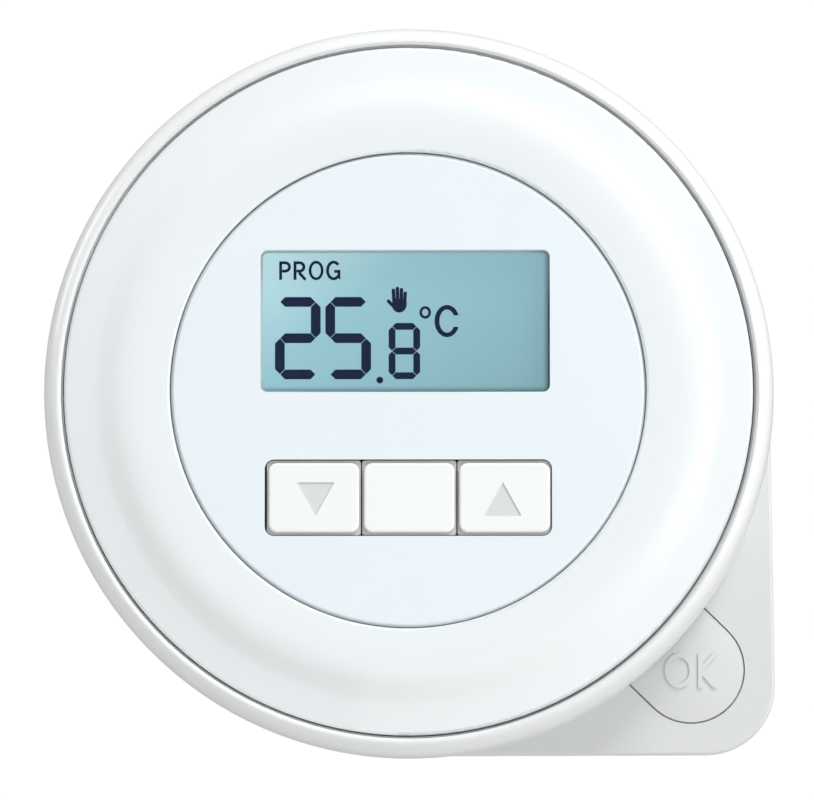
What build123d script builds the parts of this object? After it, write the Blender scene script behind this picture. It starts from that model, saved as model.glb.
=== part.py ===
from build123d import *
from math import atan, cos, pi, radians, sin, sqrt, tan
import os

# Wall thermostat: round body with a turning setting ring and a corner OK key.
# Modelled in millimetres as if lying on its back: x right, y up the wall, z away from
# the wall. The last step turns each piece so that the wall is the plane y = 0, +Z is up
# and the front faces -Y. The origin is the centre of the round body on the wall.

# ---- levels above the wall -------------------------------------------------------
H_PLATE = 2.0            # wall plate floor
H_TRAY = 5.0             # wall plate edge
H_POWER = 4.0            # underside of the power board
BOARD_THICK = 1.6
H_CONTROL = 9.3          # underside of the control board
H_SKIRT = 0.5            # rear edge of the housing
H_PANEL = 14.5           # front face of the corner block
PANEL_THICK = 1.6
H_RIM = 24.87            # lip of the outer rim
H_FACE_BACK = 24.4       # rear of the face plate
H_FACE = 26.1            # front of the face plate
H_KEY = 26.35            # front of the three keys

# ---- plan sizes ------------------------------------------------------------------
R_HOUSING = 42.7         # round part of the housing at the panel
SIDE_SLANT = 0.85        # degrees, the corner block spreads slightly to the right
FOOT_SLANT = 0.2         # and rises slightly along its lower edge
CORNER_R = 8.2           # rounded corner of the corner block
HOUSING_WALL = 1.8
DRAFT = 1.5              # degrees, the housing narrows towards the wall
PANEL_FILLET = 0.4
R_RIM_IN = 40.75
R_RIM_FOOT = 42.85
R_RIM_MAX = 43.0
RIM_LEDGE_R = 40.53      # dust ledge beside the setting ring
RIM_LEDGE_TOP = 23.6
R_RING_OUT = 40.4
R_RING_IN = 27.9
R_FACE = 27.6
R_FACE_LEDGE = 27.78     # dust ledge inside the setting ring
FACE_LEDGE_TOP = 25.55
R_TOWER_IN = 25.4
R_TOWER_OUT = 26.4
R_RING_BORE = 26.5       # the ring runs on the tower with 0.1 clearance
R_PLATE = 40.3

# ---- display ---------------------------------------------------------------------
WINDOW_W = 33.88
WINDOW_H = 16.66
WINDOW_X = -0.35
WINDOW_Y = 8.09
WINDOW_R = 0.8
LENS_RECESS = 0.15
GLASS_W = 34.6
GLASS_H = 18.4
GLASS_Y = 7.7
H_GLASS = 21.6
GLASS_THICK = 2.0
GUIDE_THICK = 2.6
PIN_PITCH = 1.8
PIN_COUNT = 18

# ---- keys ------------------------------------------------------------------------
KEY_X = 0.13
KEY_PITCH = 11.15
KEY_W = 10.6
KEY_H = 8.12
KEY_Y = -12.65
KEY_R = 1.0
KEY_SHOULDER_TOP = 25.7  # below this the keys are a little wider
KEY_SHOULDER = 0.2
KEY_SIDE_GAP = 0.1       # between those shoulders and the wall of the bay
KEY_BAY_W = 33.6
KEY_BAY_H = 8.95
KEY_BAY_X = 0.03
KEY_BAY_Y = -12.63
KEY_POST_R = 2.2
PLUNGER_R = 1.7
H_PLUNGER = 19.9
MARK_W = 4.35
MARK_H = 3.9
MARK_DEPTH = 0.18
DOWN_MARK_SHIFT = 0.24
UP_MARK_SHIFT = -0.2
MARK_DROP = 0.15

# ---- OK key, laid out along the diagonal of the corner block ---------------------
DIAGONAL = -44.3         # degrees
OK_S = 46.46             # centre of the round end, from the body's centre
OK_R = 6.2
OK_GAP = 0.2
OK_FLANGE = 0.13         # dust flange low on the key's side
OK_FLANGE_TOP = 14.1
OK_PIVOT_S = 37.2
OK_PIVOT_H = 14.1
OK_SWITCH_S = 45.4
OK_DOME_S = 45.0
OK_DOME_TOP = 15.15
OK_DOME_R = 40.0
OK_BACK = 13.3
OK_PIN_R = 0.6
ARCH_GAP = 0.25          # between the key and the rim above it

# ---- ring gear and encoder pinion ------------------------------------------------
MODULE = 1.0
RING_TEETH = 76
PINION_TEETH = 10
PRESSURE = radians(25)
ADDENDUM = 0.8
DEDENDUM = 1.0
FLANK_GAP = 0.06         # taken off each flank of both gears
ENCODER_Y = -(RING_TEETH - PINION_TEETH) * MODULE / 2
H_GEAR = 17.0
H_GEAR_TOP = 21.7
SHAFT_R = 1.5

# ---- wall fixing -----------------------------------------------------------------
SLOT_SPACING = 60.0
SLOT_R = 2.1
SLOT_LENGTH = 8.0
CABLE_W = 20.0
CABLE_H = 8.0
CABLE_Y = 32.5

H_PANEL_BACK = H_PANEL - PANEL_THICK
H_CONTROL_TOP = H_CONTROL + BOARD_THICK
H_POWER_TOP = H_POWER + BOARD_THICK
SEAT = 0.02              # air under a seated screw head or component


# ---- helpers ---------------------------------------------------------------------
def rod(radius, low, high, x=0.0, y=0.0):
    """Round prism standing on the level low."""
    return Pos(x, y, (low + high) / 2) * Cylinder(radius, high - low)


def tube(outer, inner, low, high, x=0.0, y=0.0):
    return rod(outer, low, high, x, y) - rod(inner, low - 1, high + 1, x, y)


def block(width, height, low, high, x=0.0, y=0.0, corner=0.0):
    """Rectangular prism, width along x and height along y."""
    if corner:
        face = RectangleRounded(width, height, corner)
    else:
        face = Rectangle(width, height)
    return extrude(Pos(x, y, low) * face, high - low)


def teardrop(radius, corner):
    """Circle whose lower right quarter is filled out to a rounded square corner."""
    side, foot = SIDE_SLANT, FOOT_SLANT - 90
    nx, ny = polar(1, side)
    mx, my = polar(1, foot)
    det = nx * my - ny * mx
    k = radius - corner
    cx, cy = k * (my - ny) / det, k * (nx - mx) / det
    edges = [
        CenterArc((0, 0), radius, side, 360 + foot - side),
        Line((radius * mx, radius * my), (cx + corner * mx, cy + corner * my)),
        CenterArc((cx, cy), corner, foot, side - foot),
        Line((cx + corner * nx, cy + corner * ny), (radius * nx, radius * ny)),
    ]
    return make_face(edges)


def teardrop_prism(radius, corner, low, high):
    return extrude(Pos(0, 0, low) * teardrop(radius, corner), high - low)


def turned(edges):
    """Solid of revolution about z from a closed outline of (r, 0, z) edges."""
    return revolve(make_face(edges), Axis.Z)


def polar(radius, degrees):
    return radius * cos(radians(degrees)), radius * sin(radians(degrees))


def on_diagonal(shape):
    """Turn a shape laid out along +x onto the diagonal of the corner block."""
    return Rot(0, 0, DIAGONAL) * shape


def tongue(radius, start, low, high):
    """Prism along +x from start, ending in a half circle at the OK key's centre."""
    straight = block(OK_S - start, 2 * radius, low, high, (OK_S + start) / 2)
    return straight + rod(radius, low, high, OK_S)


def cross_rod(radius, half_length, s, level):
    """Rod across the diagonal, while still laid out along +x."""
    return Pos(s, 0, level) * Rot(90, 0, 0) * Cylinder(radius, 2 * half_length)


def screw(x, y, seat, tip, head_r, head_h, shank_r, drive_w):
    """Cross-headed screw; seat is the underside of the head, tip the shank's end."""
    up = 1 if seat > tip else -1
    seat += up * SEAT
    head_end = seat + up * head_h
    low, high = min(seat, head_end), max(seat, head_end)
    body = rod(head_r, low, high, x, y)
    body += rod(shank_r, min(seat, tip), max(seat, tip), x, y)
    cut_low = head_end - 0.6 if up > 0 else head_end
    for w, h in ((drive_w, 0.45), (0.45, drive_w)):
        body -= block(w, h, cut_low, cut_low + 0.6, x, y)
    return body


def involute(ratio):
    """Polar angle of an involute at ratio times its base radius."""
    run = sqrt(max(ratio * ratio - 1, 0))
    return run - atan(run)


def gear_face(teeth, tip_r, root_r, gap, steps):
    """Flat gear outline. A positive gap thins each tooth flank, a negative one fattens it."""
    pitch_r = teeth * MODULE / 2
    base_r = pitch_r * cos(PRESSURE)
    at_pitch = pi / (2 * teeth) - gap / pitch_r + involute(pitch_r / base_r)
    start = max(root_r, base_r)
    flank = []
    if root_r < base_r:
        flank.append((root_r, at_pitch))
    for i in range(steps + 1):
        r = start + (tip_r - start) * i / steps
        flank.append((r, at_pitch - involute(r / base_r)))
    points = []
    for tooth in range(teeth):
        middle = 2 * pi * tooth / teeth
        for r, half in flank:
            points.append((r * cos(middle - half), r * sin(middle - half)))
        for r, half in reversed(flank):
            points.append((r * cos(middle + half), r * sin(middle + half)))
    return make_face(Polyline(*points, close=True))


parts = {}

# ---- wall plate ------------------------------------------------------------------
CORE_DEPTH = 0.8
RIB_W = 1.6
RIB_R = 20.5
POWER_SCREWS = [(-20.0, 14.0), (20.0, 14.0), (-19.0, -26.0), (19.0, -26.0)]

plate = teardrop_prism(R_PLATE, 5.9, 0, H_TRAY)
plate -= teardrop_prism(R_PLATE - 1.2, 4.7, H_PLATE, H_TRAY + 1)
for x, y in POWER_SCREWS:
    plate += rod(2.4, H_PLATE, H_POWER, x, y)
for side in (-1, 1):
    boss = block(SLOT_LENGTH + 5, 2 * SLOT_R + 5, H_PLATE, H_PLATE + 0.8, side * SLOT_SPACING / 2, 0, 3.5)
    plate += boss
for side in (-1, 1):
    slot = SlotOverall(SLOT_LENGTH, 2 * SLOT_R)
    plate -= extrude(Pos(side * SLOT_SPACING / 2, 0, -1) * slot, H_PLATE + 3)
plate -= block(CABLE_W, CABLE_H, -1, H_PLATE + 1, 0, CABLE_Y, 1.5)
plate += block(CABLE_W + 4, 1.2, H_PLATE, H_POWER, 0, CABLE_Y - CABLE_H / 2 - 1.0)
for x, y in POWER_SCREWS:
    plate -= rod(0.93, 0.8, H_POWER + 1, x, y)
# Shallow coring of the rear, which leaves a flat edge, ribs and pads against the wall.
coring = teardrop_prism(R_PLATE - 3.6, 3.0, -1, CORE_DEPTH)
coring -= tube(RIB_R + RIB_W / 2, RIB_R - RIB_W / 2, -2, CORE_DEPTH + 1)
coring -= rod(7.0, -2, CORE_DEPTH + 1)
for turn in range(0, 180, 30):
    coring -= Rot(0, 0, turn + 15) * block(110, RIB_W, -2, CORE_DEPTH + 1)
for side in (-1, 1):
    coring -= block(SLOT_LENGTH + 7, 2 * SLOT_R + 7, -2, CORE_DEPTH + 1, side * SLOT_SPACING / 2, 0, 4.0)
coring -= block(CABLE_W + 5, CABLE_H + 5, -2, CORE_DEPTH + 1, 0, CABLE_Y, 2.5)
for x, y in POWER_SCREWS:
    coring -= rod(3.4, -2, CORE_DEPTH + 1, x, y)
plate -= coring
SNAP_ANGLES = (60, 180, 240)
snap_ring = tube(R_PLATE + 0.25, R_PLATE - 0.6, 3.0, 3.8)
for angle in SNAP_ANGLES:
    plate += snap_ring & (Rot(0, 0, angle) * block(10, 9, 2.9, 3.9, R_PLATE))
parts["wall_plate"] = plate

# ---- power board and what it carries ---------------------------------------------
board = block(46, 61.5, H_POWER, H_POWER_TOP, 0, -3.25) & rod(38.4, H_POWER - 1, H_POWER_TOP + 1)
for x, y in POWER_SCREWS:
    board -= rod(1.1, H_POWER - 1, H_POWER_TOP + 1, x, y)
parts["power_board"] = board

parts["power_board_screws"] = Compound(children=[
    screw(x, y, H_POWER_TOP, 1.0, 1.9, 1.3, 0.9, 2.2) for x, y in POWER_SCREWS])

TERMINAL_PITCH = 5.0
TERMINAL_Y = 23.1
H_TERMINAL = 12.6
terminal = block(25.4, 7.8, H_POWER_TOP, H_TERMINAL, 0, TERMINAL_Y, 0.4)
terminal -= block(25.4 + 1, 1.6, H_TERMINAL - 1.2, H_TERMINAL + 1, 0, TERMINAL_Y + 3.9)
terminal_screws = []
for i in range(5):
    x = (i - 2) * TERMINAL_PITCH
    terminal -= rod(1.6, 8.9, H_TERMINAL + 1, x, TERMINAL_Y - 0.6)
    terminal -= block(3.2, 5.0, 6.2, 8.9, x, TERMINAL_Y + 2.0)
    head = rod(1.5, 9.0, 11.8, x, TERMINAL_Y - 0.6)
    terminal_screws.append(head - block(3.2, 0.6, 11.2, 12.0, x, TERMINAL_Y - 0.6))
parts["terminal_block"] = terminal
parts["terminal_screws"] = Compound(children=terminal_screws)

relay = block(20.4, 7.2, H_POWER_TOP, H_POWER_TOP + 10.2, -4.0, 11.2, 0.5)
relay = chamfer(relay.faces().sort_by(Axis.Z)[-1].edges(), 0.3)
parts["relay"] = relay
film = block(10.0, 4.5, H_POWER_TOP, H_POWER_TOP + 9.0, 3.6, 3.4, 0.6)
parts["film_capacitor"] = fillet(film.faces().sort_by(Axis.Z)[-1].edges(), 0.4)
can = rod(3.15, H_POWER_TOP, H_POWER_TOP + 9.0, -10.5, 3.6)
can -= tube(3.4, 2.95, H_POWER_TOP + 1.2, H_POWER_TOP + 1.7, -10.5, 3.6)
parts["electrolytic_capacitor"] = fillet(can.faces().sort_by(Axis.Z)[-1].edges(), 0.35)
parts["fuse"] = block(8.4, 4.0, H_POWER_TOP, H_POWER_TOP + 6.3, 18.0, 22.0, 0.5)
varistor = Pos(-18.0, 22.0, 9.0) * Rot(90, 0, 0) * Cylinder(3.0, 2.6)
varistor = fillet(varistor.edges(), 0.8)
for side in (-1, 1):
    varistor += rod(0.3, H_POWER_TOP, 7.2, -18.0 + side * 1.9, 22.0)
parts["varistor"] = varistor

HEADER_X = 16.0
HEADER_Y = -22.0
HEADER_PITCH = 2.54
socket = block(12.7, 2.5, H_POWER_TOP, 8.0, HEADER_X, HEADER_Y)
pins = block(12.7, 2.5, 8.2, H_CONTROL, HEADER_X, HEADER_Y)
for i in range(5):
    x = HEADER_X + (i - 2) * HEADER_PITCH
    socket -= block(1.0, 1.0, 5.9, 9.0, x, HEADER_Y)
    pins += block(0.6, 0.6, 6.2, 8.2, x, HEADER_Y)
parts["header_socket"] = socket
parts["header_pins"] = pins

# ---- base housing ----------------------------------------------------------------
CARRIER_SCREWS = [polar(29.5, a) for a in (90, 210, 330)]
CONTROL_SCREWS = [polar(34.0, a) for a in (20, 160, 245)]

rear_r = R_HOUSING - (H_PANEL - H_SKIRT) * tan(radians(DRAFT))
front_face = Pos(0, 0, H_PANEL) * teardrop(R_HOUSING, CORNER_R)
rear_face = Pos(0, 0, H_SKIRT) * teardrop(rear_r, CORNER_R)
housing = loft([rear_face, front_face], ruled=True)
housing = fillet(housing.faces().sort_by(Axis.Z)[-1].edges(), PANEL_FILLET)
inner_r = R_HOUSING - HOUSING_WALL
housing -= teardrop_prism(inner_r, CORNER_R - HOUSING_WALL, H_SKIRT - 1, H_PANEL_BACK)
housing -= rod(R_TOWER_IN, 0, H_PANEL + 1)
housing -= block(10.0, 10.0, 5, H_PANEL + 1, 0, ENCODER_Y, 0.4)
for x, y in CARRIER_SCREWS:
    housing += rod(2.2, 11.2, H_PANEL_BACK, x, y)
    housing -= rod(0.93, 10, H_PANEL + 1, x, y)
for x, y in CONTROL_SCREWS:
    housing += rod(2.4, H_CONTROL_TOP, H_PANEL_BACK, x, y)
    housing -= rod(0.93, H_CONTROL, H_PANEL - 0.4, x, y)
housing -= on_diagonal(tongue(OK_R + OK_GAP, 35.4, 10, H_PANEL + 1))
ears = block(3.4, 18.2, H_PANEL_BACK, 15.7, OK_PIVOT_S) - block(5, 2 * (OK_R + OK_GAP), 10, 17, OK_PIVOT_S)
housing += on_diagonal(ears)
housing -= on_diagonal(cross_rod(OK_PIN_R + 0.02, 8.6, OK_PIVOT_S, OK_PIVOT_H))
groove = tube(R_PLATE + 0.75, R_PLATE, 2.7, 4.1)
for angle in SNAP_ANGLES:
    housing -= groove & (Rot(0, 0, angle) * block(10, 11, 2, 5, R_PLATE))
VENT_W = 1.3
VENT_PITCH = 3.0
for i in range(6):
    housing -= block(VENT_W, 6, 6.0, 11.0, 8.0 + i * VENT_PITCH, -41.5)
    housing -= block(VENT_W, 6, 6.0, 11.0, (i - 2.5) * VENT_PITCH, 41.5)
housing -= block(9.0, 3.5, H_SKIRT - 1, H_SKIRT + 1.1, -4.0, -42.0, 0.8)   # notch for a blade, to prise the front off
parts["base_housing"] = housing

# ---- outer rim -------------------------------------------------------------------
RIM_SIDE = [(R_RIM_FOOT, H_PANEL), (R_RIM_MAX, 16.6), (42.99, 19.0), (42.9, 21.4), (42.73, 22.7),
            (42.4, 23.75), (41.88, 24.5), (41.25, H_RIM)]
rim = turned([
    Line((R_RIM_IN, 0, H_PANEL), (R_RIM_FOOT, 0, H_PANEL)),
    Spline(*[(r, 0, h) for r, h in RIM_SIDE]),
    Line((RIM_SIDE[-1][0], 0, H_RIM), (R_RIM_IN + 0.3, 0, H_RIM)),
    Line((R_RIM_IN + 0.3, 0, H_RIM), (R_RIM_IN, 0, H_RIM - 0.35)),
    Line((R_RIM_IN, 0, H_RIM - 0.35), (R_RIM_IN, 0, H_PANEL)),
])
rim += tube(R_RIM_IN + 0.2, RIM_LEDGE_R, RIM_LEDGE_TOP - 0.8, RIM_LEDGE_TOP)
arch = block(4.5, 2 * (OK_R + OK_GAP + 0.1), H_PANEL - 1, 16, 41.8)
arch &= Pos(OK_DOME_S, 0, OK_DOME_TOP - OK_DOME_R) * Sphere(OK_DOME_R + ARCH_GAP)
rim -= on_diagonal(arch)
parts["outer_rim"] = rim

# ---- setting ring and its gear ---------------------------------------------------
crown = [(R_RING_IN + 0.4, 26.26), (31.0, 26.4), (32.6, 26.38), (33.6, 26.27), (34.6, 25.99),
         (35.6, 25.58), (36.5, 25.24), (37.5, 25.05), (38.8, 24.86), (R_RING_OUT - 0.4, 24.66)]
under = [(39.1, 21.7), (39.1, 23.0), (38.4, 23.2), (37.0, 23.4), (35.6, 23.8), (34.0, 24.45),
         (32.5, 24.7), (29.8, 24.7), (29.8, 22.7), (R_RING_BORE, 22.7), (R_RING_BORE, 24.2),
         (R_RING_IN, 24.2), (R_RING_IN, 25.86)]
ring = turned([
    ThreePointArc((R_RING_IN, 0, 25.86), (R_RING_IN + 0.11, 0, 26.14), (R_RING_IN + 0.4, 0, 26.26)),
    Spline(*[(r, 0, h) for r, h in crown]),
    ThreePointArc((R_RING_OUT - 0.4, 0, 24.66), (R_RING_OUT - 0.12, 0, 24.53), (R_RING_OUT, 0, 24.24)),
    Line((R_RING_OUT, 0, 24.24), (R_RING_OUT, 0, 21.7)),
    Line((R_RING_OUT, 0, 21.7), (39.1, 0, 21.7)),
    Polyline(*[(r, 0, h) for r, h in under]),
])
parts["setting_ring"] = ring

pitch_r = RING_TEETH * MODULE / 2
space = gear_face(RING_TEETH, pitch_r + DEDENDUM, pitch_r - ADDENDUM, -FLANK_GAP, 2)
gear = rod(R_RING_OUT - 0.25, H_GEAR, H_GEAR_TOP)
gear -= extrude(Pos(0, 0, H_GEAR - 1) * space, 20.9 - H_GEAR + 1)
gear -= rod(pitch_r - ADDENDUM, 20, H_GEAR_TOP + 1)
gear += tube(39.05, 37.9, H_GEAR_TOP, 22.8)
parts["ring_gear"] = gear

pinion_r = PINION_TEETH * MODULE / 2
pinion_face = gear_face(PINION_TEETH, pinion_r + ADDENDUM, pinion_r - DEDENDUM, FLANK_GAP, 4)
pinion = extrude(Pos(0, ENCODER_Y, 17.5) * Rot(0, 0, -90) * pinion_face, 3.2)
pinion -= rod(SHAFT_R + 0.02, 17, 22, 0, ENCODER_Y)
parts["drive_pinion"] = pinion
shaft = rod(SHAFT_R, 12.6, 21.2, 0, ENCODER_Y)
shaft = chamfer(shaft.faces().sort_by(Axis.Z)[-1].edges(), 0.25)
parts["encoder_shaft"] = shaft
encoder = block(9.0, 9.0, H_CONTROL_TOP + SEAT, 16.6, 0, ENCODER_Y, 0.4)
encoder -= rod(SHAFT_R + 0.06, 12.4, 18, 0, ENCODER_Y)
parts["encoder_body"] = encoder

# ---- control board and what it carries -------------------------------------------
control = teardrop_prism(39.8, 5.4, H_CONTROL, H_CONTROL_TOP)
control -= block(90, 40, H_CONTROL - 1, H_CONTROL_TOP + 1, 0, 18.6 + 20)
control -= block(26.5, 15.4, H_CONTROL - 1, H_CONTROL_TOP + 1, -3.65, 7.9, 1.0)
for x, y in CONTROL_SCREWS:
    control -= rod(1.1, H_CONTROL - 1, H_CONTROL_TOP + 1, x, y)
parts["control_board"] = control
parts["control_board_screws"] = Compound(children=[
    screw(x, y, H_CONTROL, 13.8, 1.9, 1.2, 0.9, 2.2) for x, y in CONTROL_SCREWS])

chip = block(9.0, 9.0, H_CONTROL - 1.4, H_CONTROL - 0.1, -14.0, -9.0)
for i in range(8):
    offset = (i - 3.5) * 1.0
    for side in (-1, 1):
        chip += block(0.4, 1.0, H_CONTROL - 0.5, H_CONTROL, -14.0 + offset, -9.0 + side * 5.0)
        chip += block(1.0, 0.4, H_CONTROL - 0.5, H_CONTROL, -14.0 + side * 5.0, -9.0 + offset)
parts["microcontroller"] = chip

bead = Pos(12.0, -35.0, 7.3) * Sphere(1.1)
for side in (-1, 1):
    bead += rod(0.22, 7.4, H_CONTROL, 12.0 + side * 0.5, -35.0)
parts["temperature_sensor"] = bead

switches = []
for i in (-1, 0, 1):
    x = KEY_X + i * KEY_PITCH
    body = block(6.0, 6.0, H_CONTROL_TOP + SEAT, H_CONTROL_TOP + 3.5, x, KEY_Y, 0.3)
    body -= rod(PLUNGER_R + 0.1, H_CONTROL_TOP + 0.7, 16, x, KEY_Y)
    switches.append(body)
parts["key_switches"] = Compound(children=switches)

ok_switch = block(4.5, 4.5, H_CONTROL_TOP, 12.5, OK_SWITCH_S, 0, 0.3)
ok_switch -= rod(0.9, 11.0, 13, OK_SWITCH_S)
parts["ok_switch"] = on_diagonal(ok_switch)
parts["ok_plunger"] = on_diagonal(rod(0.8, 11.5, 13.0, OK_SWITCH_S))

leds = []
for x, y in ((13.2, 12.5), (13.2, 3.0)):
    leds.append(block(2.0, 2.8, H_CONTROL_TOP + SEAT, H_CONTROL_TOP + 1.2, x, y))
parts["backlight_leds"] = Compound(children=leds)

# ---- display stack ---------------------------------------------------------------
H_GUIDE = H_GLASS - 0.1 - GUIDE_THICK
frame = block(37.0, 20.9, H_CONTROL_TOP, H_GLASS + GLASS_THICK, WINDOW_X, 7.55)
frame &= rod(R_TOWER_IN - 0.25, 5, 30)
frame -= block(34.8, 19.1, H_GUIDE, 30, WINDOW_X, 7.45)
frame -= block(32.8, 18.1, 5, 30, WINDOW_X, 6.95)
parts["display_frame"] = frame
parts["light_guide"] = block(34.4, 17.9, H_GUIDE, H_GLASS - 0.1, WINDOW_X, 7.9, 0.5)

glass = block(GLASS_W, GLASS_H, H_GLASS, H_GLASS + GLASS_THICK / 2, WINDOW_X, GLASS_Y)
glass += block(GLASS_W, GLASS_H - 1.3, H_GLASS + GLASS_THICK / 2, H_GLASS + GLASS_THICK, WINDOW_X, GLASS_Y + 0.65)
parts["display_glass"] = glass

glass_edge = GLASS_Y - GLASS_H / 2
pins = []
for i in range(PIN_COUNT):
    x = WINDOW_X + (i - (PIN_COUNT - 1) / 2) * PIN_PITCH
    pin = block(0.5, 0.3, H_CONTROL_TOP + SEAT, H_GLASS + 1.3, x, glass_edge - 0.2)
    pin += block(0.5, 1.0, H_GLASS + 1.05, H_GLASS + 1.3, x, glass_edge + 0.15)
    pins.append(pin)
parts["display_pins"] = Compound(children=pins)

lens = block(35.4, 18.0, H_FACE_BACK - 0.6, H_FACE_BACK, WINDOW_X, WINDOW_Y, 1.0)
pane = block(WINDOW_W - 0.2, WINDOW_H - 0.2, H_FACE_BACK, H_FACE - LENS_RECESS, WINDOW_X, WINDOW_Y, WINDOW_R - 0.1)
lens += fillet(pane.faces().sort_by(Axis.Z)[-1].edges(), 0.25)
parts["display_lens"] = lens

# ---- display carrier, the tower that the ring turns on ---------------------------
PEGS = [(-20.5, -9.0), (20.5, -9.0), (-8.0, -22.0), (8.0, -22.0)]
carrier = tube(R_TOWER_OUT, R_TOWER_IN, H_PANEL, H_FACE_BACK)
carrier += tube(28.0, R_TOWER_IN, H_PANEL, H_PANEL + 1.4)
carrier += tube(28.2, R_TOWER_OUT - 0.2, 21.3, 22.6)
for x, y in CARRIER_SCREWS:
    ear = rod(2.7, H_PANEL, H_PANEL + 1.4, x, y) - rod(R_TOWER_OUT, H_PANEL - 1, 30)
    carrier += ear
web = rod(R_TOWER_IN + 0.2, 20.3, 21.8) & block(60, 30, 20, 22, 0, -3.3 - 15)
carrier += web
for i in (-1, 0, 1):
    carrier -= rod(KEY_POST_R + 0.1, 20, 22.0, KEY_X + i * KEY_PITCH, KEY_Y)
for x, y in PEGS:
    carrier -= rod(0.92, 20, 22.0, x, y)
for x, y in CARRIER_SCREWS:
    carrier -= rod(1.1, H_PANEL - 1, H_PANEL + 2, x, y)
parts["display_carrier"] = carrier
parts["carrier_screws"] = Compound(children=[
    screw(x, y, H_PANEL + 1.4, 11.6, 1.9, 1.3, 0.9, 2.2) for x, y in CARRIER_SCREWS])

# ---- face plate ------------------------------------------------------------------
face = rod(R_FACE, H_FACE_BACK, H_FACE)
face = fillet(face.faces().sort_by(Axis.Z)[-1].edges(), 0.25)
face += tube(R_FACE_LEDGE, R_FACE - 0.2, H_FACE_BACK, FACE_LEDGE_TOP)
face -= block(WINDOW_W, WINDOW_H, 20, 30, WINDOW_X, WINDOW_Y, WINDOW_R)
face -= block(KEY_BAY_W, KEY_BAY_H, 20, 30, KEY_BAY_X, KEY_BAY_Y, KEY_R + 0.1)
for x, y in PEGS:
    face += rod(0.9, 20.9, H_FACE_BACK, x, y)
parts["face_plate"] = face


# ---- the three keys --------------------------------------------------------------
def key_cap(x, mark):
    """Hollow cap with a retaining lip, a guide post and, if mark is -1 or 1, an arrow."""
    cap = block(KEY_W, KEY_H, 23.0, H_KEY, x, KEY_Y, KEY_R)
    cap = fillet(cap.faces().sort_by(Axis.Z)[-1].edges(), 0.3)
    shoulder = block(KEY_W + 2 * KEY_SHOULDER, KEY_H + 0.6, 23.0, KEY_SHOULDER_TOP, x, KEY_Y, 0.3)
    shoulder &= block(KEY_BAY_W - 2 * KEY_SIDE_GAP, KEY_BAY_H - 2 * KEY_SIDE_GAP, 20, 30, KEY_BAY_X, KEY_BAY_Y, KEY_R)
    cap += shoulder
    cap += block(KEY_W, KEY_BAY_H + 1.5, 23.0, 24.1, x, KEY_Y)
    cap -= block(KEY_W - 2.4, KEY_H - 2.4, 22, 24.9, x, KEY_Y, 0.4)
    cap += rod(KEY_POST_R, H_PLUNGER, 25.2, x, KEY_Y)
    if mark:
        half = MARK_W / 2
        rise = mark * MARK_H / 2
        outline = Polyline((-half, -rise), (half, -rise), (0, rise), close=True)
        shift = DOWN_MARK_SHIFT if mark < 0 else UP_MARK_SHIFT
        cap -= extrude(Pos(x + shift, KEY_Y - MARK_DROP, H_KEY - MARK_DEPTH) * make_face(outline), 1)
    return cap


for name, i, mark in (("down", -1, -1), ("mode", 0, 0), ("up", 1, 1)):
    x = KEY_X + i * KEY_PITCH
    parts[name + "_key"] = key_cap(x, mark)
    plunger = rod(PLUNGER_R, H_CONTROL_TOP + 1.5, H_PLUNGER, x, KEY_Y)
    parts[name + "_plunger"] = plunger

# ---- OK key ----------------------------------------------------------------------
dome_centre = OK_DOME_TOP - OK_DOME_R
ok_key = tongue(OK_R, OK_PIVOT_S + 0.6, OK_BACK, 16)
ok_key &= Pos(OK_DOME_S, 0, dome_centre) * Sphere(OK_DOME_R)
ok_key += tongue(OK_R + OK_FLANGE, OK_PIVOT_S + 3.0, OK_BACK, OK_FLANGE_TOP)
barrel = cross_rod(1.25, OK_R, OK_PIVOT_S, OK_PIVOT_H)
ok_key += barrel
ok_key -= cross_rod(OK_PIN_R + 0.06, OK_R + 1, OK_PIVOT_S, OK_PIVOT_H)
nub = rod(1.2, 12.5, OK_BACK + 0.2, OK_SWITCH_S) & (Pos(OK_SWITCH_S, 0, 16.05) * Sphere(3.0))
ok_key += nub
ok_key = on_diagonal(ok_key)

# Raised letters: thin strokes that follow the dome.
STROKE = 0.48
LETTER_H = 4.05
LETTER_RAISE = 0.22
LETTER_O = 1.7
letter_x, letter_y = polar(OK_S, DIAGONAL)
letter_x += 0.15
letter_y -= 0.12
letters = Pos(-1.55, 0) * (Ellipse(LETTER_O, LETTER_H / 2) - Ellipse(LETTER_O - STROKE, LETTER_H / 2 - STROKE))
letters += Pos(0.95, 0) * Rectangle(STROKE, LETTER_H)
for side in (-1, 1):
    run = sqrt(1.75 ** 2 + (LETTER_H / 2) ** 2)
    tilt = 48.0
    arm = Pos(0.95 + 0.95, side * LETTER_H / 4) * Rot(0, 0, side * tilt) * Rectangle(run + 0.2, STROKE)
    letters += arm
letters = letters & (Pos(0.5, 0) * Rectangle(8, LETTER_H))
prism = extrude(Pos(letter_x, letter_y, 13.6) * letters, 3)
cap = on_diagonal(Pos(OK_DOME_S, 0, dome_centre + LETTER_RAISE) * Sphere(OK_DOME_R))
ok_key += prism & cap
parts["ok_key"] = ok_key
parts["ok_hinge_pin"] = on_diagonal(cross_rod(OK_PIN_R, 8.4, OK_PIVOT_S, OK_PIVOT_H))

# ---- turn upright against the wall and write -------------------------------------
os.makedirs("parts", exist_ok=True)
for name, shape in parts.items():
    export_step(Rot(90, 0, 0) * shape, "parts/" + name + ".step")
print(len(parts), "pieces")
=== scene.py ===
import math

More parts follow.
